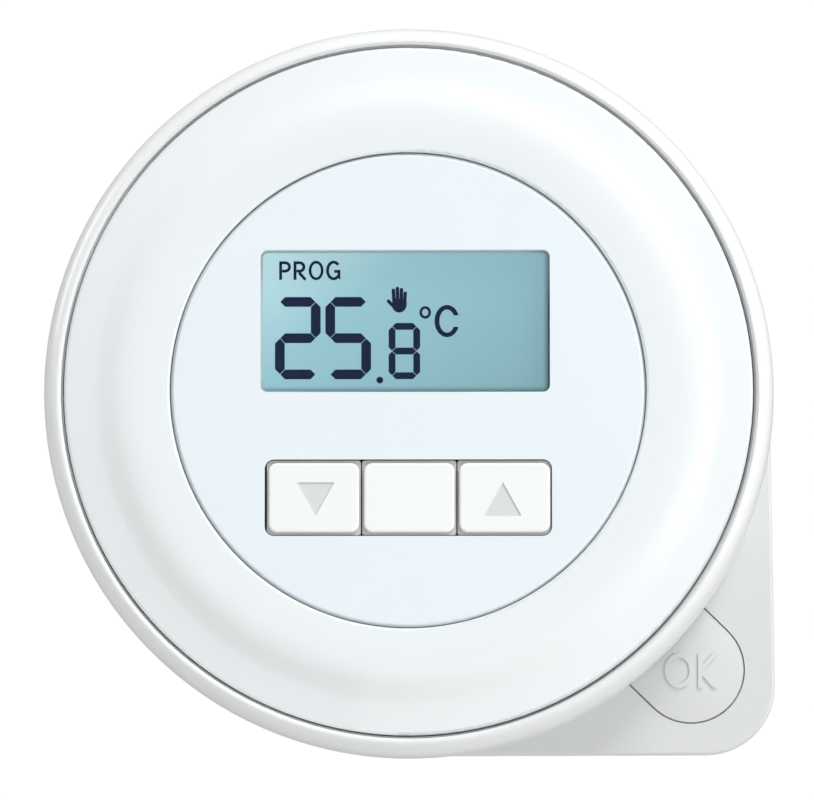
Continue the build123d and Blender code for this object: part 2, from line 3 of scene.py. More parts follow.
import bmesh
import bpy
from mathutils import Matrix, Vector


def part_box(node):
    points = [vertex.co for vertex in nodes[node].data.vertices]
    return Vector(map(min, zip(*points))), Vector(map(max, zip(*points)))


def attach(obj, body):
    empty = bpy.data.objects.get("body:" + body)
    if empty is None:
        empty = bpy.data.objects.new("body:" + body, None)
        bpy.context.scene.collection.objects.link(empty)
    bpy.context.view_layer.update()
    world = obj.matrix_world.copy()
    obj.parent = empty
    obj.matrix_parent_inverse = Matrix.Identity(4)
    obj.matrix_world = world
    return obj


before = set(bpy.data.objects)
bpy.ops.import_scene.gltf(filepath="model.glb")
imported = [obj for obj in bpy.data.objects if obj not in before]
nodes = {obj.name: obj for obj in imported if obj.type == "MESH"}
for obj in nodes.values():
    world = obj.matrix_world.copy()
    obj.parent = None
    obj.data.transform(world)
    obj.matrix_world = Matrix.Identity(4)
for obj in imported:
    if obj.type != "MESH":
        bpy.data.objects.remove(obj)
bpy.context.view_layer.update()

MM = 0.001
scene = bpy.context.scene

# ---------------------------------------------------------------------------------
# Camera: nearly square on, from a little below
# ---------------------------------------------------------------------------------
AZIMUTH = 0.8                    # degrees
ELEVATION = -3.5
DISTANCE = 0.9
SENSOR = 36                      # camera sensor width, mm
FRAME_WIDTH = 0.09624            # width of the view at the rim's widest plane
RIM_PLANE = -0.0164
AIM = Vector((-0.00026, RIM_PLANE, -0.000615))

az, el = math.radians(AZIMUTH), math.radians(ELEVATION)
back = Vector((math.sin(az) * math.cos(el), -math.cos(az) * math.cos(el), math.sin(el)))
camera_data = bpy.data.cameras.new("camera")
camera_data.sensor_width = SENSOR
camera_data.lens = SENSOR * DISTANCE / FRAME_WIDTH
camera_data.clip_start = 0.01
camera_data.clip_end = 20
camera = bpy.data.objects.new("camera", camera_data)
camera.location = AIM + back * DISTANCE
camera.rotation_mode = "QUATERNION"
camera.rotation_quaternion = (-back).to_track_quat("-Z", "Y")
scene.collection.objects.link(camera)
scene.camera = camera

scene.view_settings.view_transform = "Standard"
scene.view_settings.look = "None"


# ---------------------------------------------------------------------------------
# Node helpers
# ---------------------------------------------------------------------------------
NOISE_RANGE = (0.3, 0.7)         # nearly all of a noise lies between these
MIX_A, MIX_B, MIX_COLOUR = 6, 7, 2      # the colour sockets of a Mix node
GRAIN_HEIGHT = 0.00001
WAVE_HEIGHT = 0.0002
TRACK_HEIGHT = 0.00004
GAP_SHADE_BLEND = 0.00002             # half width of the blend between a key's white and its painted gap shade


class Tree:
    """A short way to build one material's node tree."""

    def __init__(self, name):
        self.material = bpy.data.materials.new(name)
        self.material.use_nodes = True
        self.tree = self.material.node_tree
        self.tree.nodes.clear()
        self.output = self.add("ShaderNodeOutputMaterial")
        self.shader = self.add("ShaderNodeBsdfPrincipled")
        self.link(self.shader, "BSDF", self.output, "Surface")
        self.place = self.add("ShaderNodeTexCoord")

    def add(self, kind, **values):
        node = self.tree.nodes.new(kind)
        for key, value in values.items():
            setattr(node, key, value)
        return node

    def link(self, a, out, b, into):
        self.tree.links.new(a.outputs[out], b.inputs[into])

    def set(self, **values):
        for key, value in values.items():
            self.shader.inputs[key.replace("_", " ")].default_value = value

    def noise(self, size, detail=3.0, rough=0.55, squash=(1, 1, 1)):
        """Noise whose features are about size metres across."""
        mapping = self.add("ShaderNodeMapping")
        mapping.inputs["Scale"].default_value = squash
        self.link(self.place, "Object", mapping, "Vector")
        node = self.add("ShaderNodeTexNoise")
        node.inputs["Scale"].default_value = 1 / size
        node.inputs["Detail"].default_value = detail
        node.inputs["Roughness"].default_value = rough
        self.link(mapping, "Vector", node, "Vector")
        return node

    def ramp(self, source, out, low, high, colours):
        node = self.add("ShaderNodeValToRGB")
        stops = node.color_ramp.elements
        stops[0].position, stops[1].position = low, high
        stops[0].color, stops[1].color = colours
        self.link(source, out, node, "Fac")
        return node

    def spread(self, source, out, start, end, low, high, **values):
        """Maps start..end of a value to low..high and holds it beyond the ends."""
        node = self.add("ShaderNodeMapRange", **values)
        node.inputs["From Min"].default_value = start
        node.inputs["From Max"].default_value = end
        node.inputs["To Min"].default_value = low
        node.inputs["To Max"].default_value = high
        self.link(source, out, node, "Value")
        return node

    def span(self, source, out, low, high):
        """Maps the usual range of a noise to low..high."""
        return self.spread(source, out, *NOISE_RANGE, low, high)

    def bump(self, source, out, strength, height, onto=None):
        node = self.add("ShaderNodeBump")
        node.inputs["Strength"].default_value = strength
        node.inputs["Distance"].default_value = height
        self.link(source, out, node, "Height")
        if onto is not None:
            self.link(onto, "Normal", node, "Normal")
        return node


def rgba(colour):
    return (*colour, 1.0)


def shade(colour, factor):
    return tuple(min(1.0, c * factor) for c in colour)


def moulded(name, colour, roughness, grain=0.00016, grain_strength=0.25, coat=0.0, coat_rough=0.06,
            vary=0.02, wave=0.0, sub=0.0, specular=0.5):
    """Moulded plastic: spark-eroded grain, slow colour and gloss variation, optional gloss coat."""
    t = Tree(name)
    drift = t.noise(0.018, 2.0)
    tones = (rgba(shade(colour, 1 - vary)), rgba(shade(colour, 1 + vary)))
    tone = t.ramp(drift, "Fac", *NOISE_RANGE, tones)
    t.link(tone, "Color", t.shader, "Base Color")
    wear = t.noise(0.004, 4.0)
    gloss = t.span(wear, "Fac", roughness * 0.9, roughness * 1.12)
    t.link(gloss, "Result", t.shader, "Roughness")
    fine = t.noise(grain, 2.0)
    relief = t.bump(fine, "Fac", grain_strength, GRAIN_HEIGHT)
    if wave:
        flow = t.noise(0.012, 1.0)
        relief = t.bump(flow, "Fac", wave, WAVE_HEIGHT, relief)
    t.link(relief, "Normal", t.shader, "Normal")
    t.set(Coat_Weight=coat, Coat_Roughness=coat_rough, Specular_IOR_Level=specular)
    if sub:
        t.set(Subsurface_Weight=sub, Subsurface_Scale=0.0006)
        t.shader.inputs["Subsurface Radius"].default_value = (1.0, 0.9, 0.8)
    return t.material


def paint_gap_shade(material, base, level):
    """Painted shade: another colour behind the plane y = level, in the piece's own space, for the shade
    in the gaps around a part.
    """
    tree = material.node_tree
    shader = next(n for n in tree.nodes if n.type == "BSDF_PRINCIPLED")
    cap = shader.inputs["Base Color"].links[0].from_socket
    place = tree.nodes.new("ShaderNodeTexCoord")
    split = tree.nodes.new("ShaderNodeSeparateXYZ")
    tree.links.new(place.outputs["Object"], split.inputs["Vector"])
    edge = tree.nodes.new("ShaderNodeMapRange")
    edge.inputs["From Min"].default_value = level - GAP_SHADE_BLEND
    edge.inputs["From Max"].default_value = level + GAP_SHADE_BLEND
    tree.links.new(split.outputs["Y"], edge.inputs["Value"])
    mix = tree.nodes.new("ShaderNodeMix")
    mix.data_type = "RGBA"
    mix.inputs[MIX_B].default_value = rgba(base)
    tree.links.new(edge.outputs["Result"], mix.inputs[0])
    tree.links.new(cap, mix.inputs[MIX_A])
    tree.links.new(mix.outputs[MIX_COLOUR], shader.inputs["Base Color"])
    return material


def metal(name, colour, roughness, squash=(1, 1, 1)):
    """Plated or drawn metal, a little uneven in colour and gloss; squash stretches the marks."""
    t = Tree(name)
    brushed = t.noise(0.0006, 4.0, 0.6, squash)
    tones = (rgba(shade(colour, 0.86)), rgba(shade(colour, 1.08)))
    tone = t.ramp(brushed, "Fac", 0.25, 0.75, tones)
    t.link(tone, "Color", t.shader, "Base Color")
    gloss = t.span(brushed, "Fac", roughness * 0.8, roughness * 1.25)
    t.link(gloss, "Result", t.shader, "Roughness")
    relief = t.bump(brushed, "Fac", 0.15, GRAIN_HEIGHT)
    t.link(relief, "Normal", t.shader, "Normal")
    t.set(Metallic=1.0)
    return t.material


def circuit_board(name):
    """Solder mask over copper: darker gaps between raised tracks, and a few vias."""
    t = Tree(name)
    mapping = t.add("ShaderNodeMapping")
    mapping.inputs["Rotation"].default_value = (math.radians(90), 0, 0)
    t.link(t.place, "Object", mapping, "Vector")
    tracks = t.add("ShaderNodeTexBrick", offset=0.37, squash=1.6, squash_frequency=3)
    tracks.inputs["Scale"].default_value = 260
    tracks.inputs["Mortar Size"].default_value = 0.09
    tracks.inputs["Mortar Smooth"].default_value = 0.2
    tracks.inputs["Color1"].default_value = (0.012, 0.105, 0.045, 1)
    tracks.inputs["Color2"].default_value = (0.016, 0.125, 0.055, 1)
    tracks.inputs["Mortar"].default_value = (0.006, 0.055, 0.024, 1)
    t.link(mapping, "Vector", tracks, "Vector")
    vias = t.add("ShaderNodeTexVoronoi", feature="F1")
    vias.inputs["Scale"].default_value = 210
    t.link(mapping, "Vector", vias, "Vector")
    dots = t.ramp(vias, "Distance", 0.10, 0.13, ((1, 1, 1, 1), (0, 0, 0, 1)))
    mix = t.add("ShaderNodeMix", data_type="RGBA")
    t.link(dots, "Color", mix, "Factor")
    t.tree.links.new(tracks.outputs["Color"], mix.inputs[MIX_A])
    mix.inputs[MIX_B].default_value = (0.55, 0.52, 0.45, 1)
    t.tree.links.new(mix.outputs[MIX_COLOUR], t.shader.inputs["Base Color"])
    speck = t.noise(0.0015, 3.0)
    gloss = t.span(speck, "Fac", 0.26, 0.40)
    t.link(gloss, "Result", t.shader, "Roughness")
    relief = t.bump(tracks, "Fac", 0.4, TRACK_HEIGHT)
    relief.invert = True
    t.link(relief, "Normal", t.shader, "Normal")
    t.set(Coat_Weight=0.3, Coat_Roughness=0.2)
    return t.material


def display_ground(name, node):
    """Lit display ground: pale at the upper left, deeper at the lower right, shaded at the window's
    edges, with a faint cell grid."""
    t = Tree(name)
    low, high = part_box(node)
    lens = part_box("display_lens")
    window = (lens[0] + WINDOW_INSET, lens[1] - WINDOW_INSET)
    split = t.add("ShaderNodeSeparateXYZ")
    t.link(t.place, "Object", split, "Vector")
    across = t.spread(split, "X", low.x, high.x, 0, ACROSS_SHARE)
    down = t.spread(split, "Z", high.z, low.z, 0, 1 - ACROSS_SHARE)
    total = t.add("ShaderNodeMath", operation="ADD")
    t.tree.links.new(across.outputs["Result"], total.inputs[0])
    t.tree.links.new(down.outputs["Result"], total.inputs[1])
    ramp = t.add("ShaderNodeValToRGB")
    stops = ramp.color_ramp.elements
    stops[0].position, stops[0].color = DISPLAY_TONES[0][0], rgba(DISPLAY_TONES[0][1])
    stops[1].position, stops[1].color = DISPLAY_TONES[-1][0], rgba(DISPLAY_TONES[-1][1])
    for place, tone in DISPLAY_TONES[1:-1]:
        stops.new(place).color = rgba(tone)
    t.link(total, "Value", ramp, "Fac")
    shadow = None
    for axis, edge, inward, depth in (("X", window[1].x, -DEEP_REACH, DEEP_SHADE),
                                      ("Z", window[0].z, DEEP_REACH, DEEP_SHADE),
                                      ("X", window[0].x, FAINT_REACH, FAINT_SHADE),
                                      ("Z", window[1].z, -FAINT_REACH, FAINT_SHADE)):
        fade = t.spread(split, axis, edge, edge + inward, 1 - depth, 1.0,
                        interpolation_type="SMOOTHSTEP")
        if shadow is None:
            shadow = fade.outputs["Result"]
        else:
            both = t.add("ShaderNodeMath", operation="MULTIPLY")
            t.tree.links.new(shadow, both.inputs[0])
            t.tree.links.new(fade.outputs["Result"], both.inputs[1])
            shadow = both.outputs["Value"]
    dim = t.add("ShaderNodeVectorMath", operation="SCALE")
    t.link(ramp, "Color", dim, "Vector")
    t.tree.links.new(shadow, dim.inputs["Scale"])
    body = t.add("ShaderNodeVectorMath", operation="SCALE")
    body.inputs["Scale"].default_value = DISPLAY_BODY
    t.link(dim, "Vector", body, "Vector")
    t.link(body, "Vector", t.shader, "Base Color")
    mottle = t.noise(0.0011, 2.0)
    gloss = t.span(mottle, "Fac", 0.38, 0.46)
    t.link(gloss, "Result", t.shader, "Roughness")
    cells = t.noise(0.0002, 2.0)
    relief = t.bump(cells, "Fac", 0.08, GRAIN_HEIGHT)
    t.link(relief, "Normal", t.shader, "Normal")
    t.link(dim, "Vector", t.shader, "Emission Color")
    t.set(Emission_Strength=DISPLAY_GLOW)
    return t.material


def clear_pane(name):
    """Clear moulded window: see-through, with a soft reflection and the faintest tint."""
    t = Tree(name)
    t.tree.nodes.remove(t.shader)
    mirror = t.add("ShaderNodeBsdfAnisotropic")
    mirror.inputs["Color"].default_value = (1, 1, 1, 1)
    speck = t.noise(0.0009, 3.0)
    gloss = t.span(speck, "Fac", 0.03, 0.07)
    t.link(gloss, "Result", mirror, "Roughness")
    see = t.add("ShaderNodeBsdfTransparent")
    see.inputs["Color"].default_value = (0.985, 0.995, 0.997, 1)
    facing = t.add("ShaderNodeLayerWeight")
    rise = t.add("ShaderNodeMath", operation="POWER")
    t.link(facing, "Facing", rise, 0)
    rise.inputs[1].default_value = PANE_RISE
    share = t.spread(rise, "Value", 0, 1, *PANE_MIRROR)
    mix = t.add("ShaderNodeMixShader")
    t.link(share, "Result", mix, "Fac")
    t.tree.links.new(see.outputs["BSDF"], mix.inputs[1])
    t.tree.links.new(mirror.outputs["BSDF"], mix.inputs[2])
    t.link(mix, "Shader", t.output, "Surface")
    return t.material


def ink(name, colour):
    """Dark display segments, a touch uneven."""
    t = Tree(name)
    drift = t.noise(0.0007, 3.0)
    tones = (rgba(shade(colour, 0.92)), rgba(shade(colour, 1.08)))
    tone = t.ramp(drift, "Fac", *NOISE_RANGE, tones)
    t.link(tone, "Color", t.shader, "Base Color")
    gloss = t.span(drift, "Fac", INK_ROUGH * 0.9, INK_ROUGH * 1.1)
    t.link(gloss, "Result", t.shader, "Roughness")
    t.set(Specular_IOR_Level=0.0)
    return t.material


def painted_edge_shade(name, upper_left, lower_right, node):
    """Painted shade along a window's edge: a dark border sheet whose tone runs from light at the upper
    left to dark at the lower right of a node, where the shade falls.
    """
    t = Tree(name)
    low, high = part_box(node)
    mapping = t.add("ShaderNodeVectorMath", operation="SUBTRACT")
    mapping.inputs[1].default_value = ((low.x + high.x) / 2, 0, (low.z + high.z) / 2)
    t.link(t.place, "Object", mapping, "Vector")
    lean = t.add("ShaderNodeVectorMath", operation="DOT_PRODUCT")
    lean.inputs[1].default_value = (1 / (high.x - low.x), 0, -1 / (high.z - low.z))
    t.link(mapping, "Vector", lean, "Vector")
    speck = t.noise(0.0008, 3.0)
    blur = t.add("ShaderNodeMath", operation="MULTIPLY_ADD")
    blur.inputs[1].default_value = 0.06
    t.tree.links.new(speck.outputs["Fac"], blur.inputs[0])
    t.tree.links.new(lean.outputs["Value"], blur.inputs[2])
    # painted shade: light tone at the upper left, dark tone towards the lower right
    tone = t.ramp(blur, "Value", 0.02, 0.40, (rgba(upper_left), rgba(lower_right)))
    t.link(tone, "Color", t.shader, "Base Color")
    t.set(Roughness=0.5, Specular_IOR_Level=0.1)
    return t.material


# ---------------------------------------------------------------------------------
# Materials of the CAD nodes
# ---------------------------------------------------------------------------------
# Three tones of the lit ground: pale corner, plain teal, deep corner
DISPLAY_TONES = ((0.0, (0.52, 0.74, 0.79)), (0.33, (0.29, 0.53, 0.59)), (1.0, (0.20, 0.38, 0.43)))
DISPLAY_GLOW = 0.83              # share of the tone that the backlight gives
DISPLAY_BODY = 0.22              # share of the tone that the room's light gives
ACROSS_SHARE = 0.62              # how far the tone runs across; the rest of it runs down
WINDOW_INSET = Vector((0.00076, 0, 0.00067))    # from the lens's outline to the window's edge
DEEP_REACH, DEEP_SHADE = 0.0009, 0.66           # shade along the right and lower window edges
FAINT_REACH, FAINT_SHADE = 0.0005, 0.06         # shade along the left and upper ones
PANE_MIRROR = (0.006, 0.45)      # the pane's reflection seen head on and edge on
PANE_RISE = 4.0                  # how late the reflection rises towards edge on
# painted shade: grey on the keys' sides below the cap, for the shade in the gaps between keys
KEY_GAP_SHADE_GREY = (0.58, 0.555, 0.56)
KEY_CAP_DEPTH = 0.00032          # white part of a key cap, above the grey painted gap shade
INK = (0.010, 0.018, 0.050)
INK_ROUGH = 0.45

ring_white = moulded("ring_gloss_white", (0.80, 0.84, 0.845), 0.34, grain_strength=0.05, coat=0.85,
                     coat_rough=0.09, vary=0.008, wave=0.02)
rim_white = moulded("rim_semi_gloss_white", (0.81, 0.82, 0.825), 0.36, grain_strength=0.10, coat=0.35,
                    coat_rough=0.16, vary=0.012)
face_white = moulded("face_satin_white", (0.768, 0.832, 0.863), 0.46, grain_strength=0.22, vary=0.006)
shell_white = moulded("shell_satin_white", (0.655, 0.665, 0.67), 0.42, grain_strength=0.30, coat=0.10,
                      coat_rough=0.3, vary=0.015)
key_cap = moulded("key_satin_white", (0.855, 0.88, 0.87), 0.40, grain_strength=0.12, coat=0.15,
                  coat_rough=0.2, vary=0.008)
# keys: white caps, with painted gap shade in grey below them
key_white = paint_gap_shade(key_cap, KEY_GAP_SHADE_GREY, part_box("mode_key")[0].y + KEY_CAP_DEPTH)
plate_white = moulded("plate_matte_white", (0.74, 0.75, 0.76), 0.55, grain=0.00025, grain_strength=0.45,
                      vary=0.02)
acetal = moulded("acetal_natural", (0.74, 0.735, 0.68), 0.36, grain_strength=0.12, vary=0.015)
dark_plastic = moulded("carrier_dark_grey", (0.052, 0.054, 0.058), 0.5, grain_strength=0.35, vary=0.06)
black_plastic = moulded("switch_black", (0.014, 0.014, 0.015), 0.42, grain_strength=0.2, vary=0.08)
grey_plastic = moulded("plunger_grey", (0.26, 0.265, 0.27), 0.4, grain_strength=0.2, vary=0.03)
terminal_grey = moulded("terminal_grey", (0.145, 0.17, 0.185), 0.45, grain_strength=0.25, vary=0.03)
relay_black = moulded("relay_black", (0.012, 0.012, 0.014), 0.3, grain_strength=0.08, coat=0.3, vary=0.1)
film_yellow = moulded("capacitor_yellow", (0.62, 0.38, 0.03), 0.35, grain_strength=0.1, coat=0.3)
can_sleeve = moulded("capacitor_sleeve_blue", (0.012, 0.02, 0.075), 0.28, grain_strength=0.05, coat=0.5)
fuse_brown = moulded("fuse_brown", (0.12, 0.045, 0.018), 0.4, grain_strength=0.15)
varistor_blue = moulded("varistor_blue", (0.012, 0.05, 0.27), 0.32, grain=0.0006,
                        grain_strength=0.4, coat=0.3)
chip_black = moulded("chip_black", (0.01, 0.01, 0.011), 0.55, grain=0.0001, grain_strength=0.5, vary=0.1)
led_cream = moulded("led_cream", (0.78, 0.74, 0.42), 0.35, grain_strength=0.1)
guide_white = moulded("light_guide_white", (0.80, 0.83, 0.83), 0.28, grain_strength=0.08, sub=0.3)
frame_white = moulded("display_frame_white", (0.72, 0.73, 0.73), 0.5, grain_strength=0.3)
steel = metal("zinc_steel", (0.60, 0.60, 0.585), 0.30)
pin_steel = metal("tinned_pins", (0.72, 0.71, 0.68), 0.24, squash=(6, 1, 6))
brass = metal("brass_pins", (0.75, 0.55, 0.24), 0.26)
board_green = circuit_board("solder_mask_green")
display_teal = display_ground("display_teal", "display_glass")
pane = clear_pane("clear_acrylic")

LOOKS = {
    "setting_ring": ring_white, "outer_rim": rim_white, "face_plate": face_white,
    "base_housing": shell_white, "ok_key": shell_white, "wall_plate": plate_white,
    "down_key": key_white, "mode_key": key_white, "up_key": key_white,
    "display_lens": pane, "display_glass": display_teal, "light_guide": guide_white,
    "display_frame": frame_white, "display_pins": pin_steel, "display_carrier": dark_plastic,
    "ring_gear": acetal, "drive_pinion": acetal, "encoder_shaft": steel, "encoder_body": black_plastic,
    "control_board": board_green, "power_board": board_green,
    "power_board_screws": steel, "control_board_screws": steel, "carrier_screws": steel,
    "terminal_screws": steel, "ok_hinge_pin": steel, "terminal_block": terminal_grey,
    "relay": relay_black, "film_capacitor": film_yellow, "electrolytic_capacitor": can_sleeve,
    "fuse": fuse_brown, "varistor": varistor_blue, "header_socket": black_plastic, "header_pins": brass,
    "microcontroller": chip_black, "temperature_sensor": chip_black, "key_switches": black_plastic,
    "ok_switch": black_plastic, "ok_plunger": grey_plastic, "down_plunger": grey_plastic,
    "mode_plunger": grey_plastic, "up_plunger": grey_plastic, "backlight_leds": led_cream,
}
for name, look in LOOKS.items():
    slots = nodes[name].material_slots
    if not slots:
        nodes[name].data.materials.append(look)
    for one in slots:
        one.material = look
left_over = sorted(set(nodes) - set(LOOKS))
if left_over:
    raise SystemExit("nodes with no material: " + ", ".join(left_over))


# ---------------------------------------------------------------------------------
# Flat pieces: outlines in millimetres, x right and z up, given thickness along y
# ---------------------------------------------------------------------------------
def add_prism(mesh, outline, front, thickness):
    """One closed prism. front is the y of its visible face; it grows towards +y."""
    ring = [mesh.verts.new((x * MM, front, z * MM)) for x, z in outline]
    rear = [mesh.verts.new((x * MM, front + thickness, z * MM)) for x, z in outline]
    mesh.faces.new(ring)
    mesh.faces.new(list(reversed(rear)))
    for i in range(len(ring)):
        j = (i + 1) % len(ring)
        mesh.faces.new((ring[j], ring[i], rear[i], rear[j]))


def add_band(mesh, outer, inner, front, thickness):
    """One closed band between two outlines with the same number of points."""
    loops = []
    rear = front + thickness
    for outline, y in ((outer, front), (inner, front), (inner, rear), (outer, rear)):
        loops.append([mesh.verts.new((x * MM, y, z * MM)) for x, z in outline])
    count = len(outer)
    for a, b in ((0, 1), (1, 2), (2, 3), (3, 0)):
        for i in range(count):
            j = (i + 1) % count
            mesh.faces.new((loops[a][i], loops[a][j], loops[b][j], loops[b][i]))


def finish_piece(name, mesh, body, look):
    """Turn the mesh into a visible piece that rides on a body."""
    bmesh.ops.recalc_face_normals(mesh, faces=mesh.faces)
    data = bpy.data.meshes.new(name)
    mesh.to_mesh(data)
    mesh.free()
    piece = bpy.data.objects.new(name, data)
    scene.collection.objects.link(piece)
    data.materials.append(look)
    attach(piece, body)


def arc(cx, cz, rx, rz, start, end, steps):
    """Points along an ellipse from start to end degrees, anticlockwise from +x."""
    points = []
    for i in range(steps + 1):
        a = math.radians(start + (end - start) * i / steps)
        points.append((cx + rx * math.cos(a), cz + rz * math.sin(a)))
    return points


def rounded(cx, cz, width, height, radius, steps=8):
    """Outline of a rectangle with round corners."""
    w, h = width / 2 - radius, height / 2 - radius
    points = []
    for sx, sz, start in ((1, 1, 0), (-1, 1, 90), (-1, -1, 180), (1, -1, 270)):
        points += arc(cx + sx * w, cz + sz * h, radius, radius, start, start + 90, steps)
    return points


def ribbon(path, width):
    """Outline of a stroke of even width along an open path, with square ends."""
    left, right = [], []
    for i, (x, z) in enumerate(path):
        before = path[max(i - 1, 0)]
        after = path[min(i + 1, len(path) - 1)]
        ax, az_ = x - before[0], z - before[1]
        bx, bz = after[0] - x, after[1] - z
        la, lb = math.hypot(ax, az_) or 1, math.hypot(bx, bz) or 1
        tx, tz = ax / la + bx / lb, az_ / la + bz / lb
        lt = math.hypot(tx, tz) or 1
        nx, nz = -tz / lt, tx / lt
        if ax or az_:
            cos_half = abs(nx * -az_ / la + nz * ax / la)
        else:
            cos_half = 1
        reach = width / 2 / max(cos_half, 0.4)
        left.append((x + nx * reach, z + nz * reach))
        right.append((x - nx * reach, z - nz * reach))
    return left + right[::-1]


# The display image: its place is worked out from the window in the face plate.
glass_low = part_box("display_glass")[0]
lens_low, lens_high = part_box("display_lens")
window_x = (lens_low.x + lens_high.x) / 2 / MM
window_z = (lens_low.z + lens_high.z) / 2 / MM
IMAGE_RISE = 0.13                # the image sits a little above the middle of the window
window_mid = window_z
window_z += IMAGE_RISE
INK_THICK = 0.00003              # metres, as is the gap to the glass
INK_GAP = 0.000005
ink_front = glass_low.y - INK_THICK - INK_GAP
navy = ink("display_ink_navy", INK)

SEGMENT_GAP = 0.045


def segment(a, b, width):
    """Six-sided bar from point a to point b, pointed at both ends."""
    dx, dz = b[0] - a[0], b[1] - a[1]
    length = math.hypot(dx, dz)
    ux, uz = dx / length, dz / length
    nx, nz = -uz, ux
    half = width / 2
    along = [SEGMENT_GAP, SEGMENT_GAP + half, length - SEGMENT_GAP - half, length - SEGMENT_GAP]
    shape = [(along[0], 0), (along[1], half), (along[2], half),
             (along[3], 0), (along[2], -half), (along[1], -half)]
    return [(a[0] + ux * s + nx * t, a[1] + uz * s + nz * t) for s, t in shape]


def digit(mesh, lit, left, right, top, middle, bottom, width):
    """One seven-segment digit; lit names its dark segments, and its edges are from the window."""
    ends = {
        "a": ((left, top), (right, top)), "g": ((left, middle), (right, middle)),
        "d": ((left, bottom), (right, bottom)), "f": ((left, top), (left, middle)),
        "b": ((right, top), (right, middle)), "e": ((left, middle), (left, bottom)),
        "c": ((right, middle), (right, bottom)),
    }
    for key in lit:
        a, b = ends[key]
        outline = segment((window_x + a[0], window_z + a[1]),
                          (window_x + b[0], window_z + b[1]), width)
        add_prism(mesh, outline, ink_front, INK_THICK)


BIG_ROWS, BIG_BAR = (2.27, -2.0, -6.26), 1.14
SMALL_ROWS, SMALL_BAR = (-0.62, -3.52, -6.42), 0.80
mesh = bmesh.new()
digit(mesh, "abged", -14.73, -10.52, *BIG_ROWS, BIG_BAR)
digit(mesh, "afgcd", -8.82, -4.60, *BIG_ROWS, BIG_BAR)
digit(mesh, "abcdefg", -1.56, 1.33, *SMALL_ROWS, SMALL_BAR)
add_prism(mesh, arc(window_x - 3.0, window_z - 6.93, 0.4, 0.4, 0, 345, 23), ink_front, INK_THICK)
finish_piece("display_digits", mesh, "housing", navy)

# Degree sign and C
mesh = bmesh.new()
LAP = (0, 352.5, 47)             # a closed round outline of 48 points
degree = (window_x + 2.33, window_z + 1.02)
add_band(mesh, arc(*degree, 0.68, 0.74, *LAP), arc(*degree, 0.36, 0.42, *LAP), ink_front, INK_THICK)
outer = arc(window_x + 4.89, window_z, 1.46, 1.89, 21.4, 338.6, 44)
inner = arc(window_x + 4.89, window_z, 0.90, 1.36, 331, 29, 44)
add_prism(mesh, outer + inner, ink_front, INK_THICK)
finish_piece("display_unit", mesh, "housing", navy)

# PROG, the generic name of the running mode, in plain strokes
LETTER_TOP, LETTER_FOOT, PEN = 7.05, 4.87, 0.34
cap = LETTER_TOP - LETTER_FOOT
mesh = bmesh.new()


def stroke(path):
    """One pen stroke of the mode word along a path given from the window's middle."""
    shifted = [(window_x + x, window_z + z) for x, z in path]
    add_prism(mesh, ribbon(shifted, PEN), ink_front, INK_THICK)


half_pen = PEN / 2
waist = LETTER_FOOT + cap * 0.47


def bowl(x, width):
    """The stem and bowl that P and R share, as one stroke that starts at the foot."""
    top = LETTER_TOP - half_pen
    radius = (top - waist) / 2
    path = [(x + half_pen, LETTER_FOOT), (x + half_pen, top), (x + width - radius - half_pen, top)]
    path += arc(x + width - radius - half_pen, waist + radius, radius, radius, 80, -80, 10)
    path += [(x + width - radius - half_pen, waist), (x + PEN + 0.01, waist)]
    return path


stroke(bowl(-14.82, 1.38))
stroke(bowl(-13.13, 1.38))
stroke([(-12.47, waist - half_pen - 0.01), (-11.73, LETTER_FOOT)])
letter_o = (window_x - 10.48, window_z + 5.97)
add_band(mesh, arc(*letter_o, 0.87, 1.14, *LAP), arc(*letter_o, 0.55, 0.82, *LAP),
         ink_front, INK_THICK)
g_path = arc(-8.42, 5.97, 0.72, 0.98, 42, 318, 26)
g_path += [(-7.80, 5.24), (-7.80, 5.86), (-8.34, 5.86)]
stroke(g_path)
finish_piece("display_mode_name", mesh, "housing", navy)

# Open hand, the generic sign for manual setting: fingers, thumb and palm fused into one outline
HAND_X, HAND_Z = window_x - 0.72, window_z + 1.95


def bar(x, z, length, width, tilt):
    """Round-ended bar from (x, z), leaning tilt degrees to the left."""
    r = width / 2
    points = arc(0, 0, r, r, 180, 360, 8) + arc(0, length - r, r, r, 0, 180, 8)
    c, s = math.cos(math.radians(tilt)), math.sin(math.radians(tilt))
    return [(HAND_X + x + px * c - pz * s, HAND_Z + z + px * s + pz * c) for px, pz in points]


hand_parts = [
    arc(HAND_X, HAND_Z - 0.12, 0.83, 0.83, 0, 345, 23),
    rounded(HAND_X + 0.04, HAND_Z + 0.14, 1.66, 1.0, 0.2),
    bar(-0.60, 0.0, 1.88, 0.41, 3), bar(-0.19, 0.1, 2.0, 0.41, 1),
    bar(0.23, 0.1, 1.86, 0.41, -1), bar(0.63, 0.0, 1.54, 0.40, -3),
    bar(-0.42, -0.45, 1.40, 0.40, 45),
]
solids = []
for outline in hand_parts:
    mesh = bmesh.new()
    add_prism(mesh, outline, ink_front, INK_THICK)
    bmesh.ops.recalc_face_normals(mesh, faces=mesh.faces)
    data = bpy.data.meshes.new("hand_piece")
    mesh.to_mesh(data)
    mesh.free()
    solids.append(bpy.data.objects.new("hand_piece", data))
    scene.collection.objects.link(solids[-1])
hand = solids[0]
for other in solids[1:]:
    join = hand.modifiers.new("join", "BOOLEAN")
    join.operation, join.object, join.solver = "UNION", other, "EXACT"
bpy.context.view_layer.update()
joined = bpy.data.meshes.new_from_object(hand.evaluated_get(bpy.context.evaluated_depsgraph_get()))
for one in solids:
    bpy.data.objects.remove(one)
hand = bpy.data.objects.new("display_hand_sign", joined)
scene.collection.objects.link(hand)
joined.materials.clear()
joined.materials.append(navy)
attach(hand, "housing")
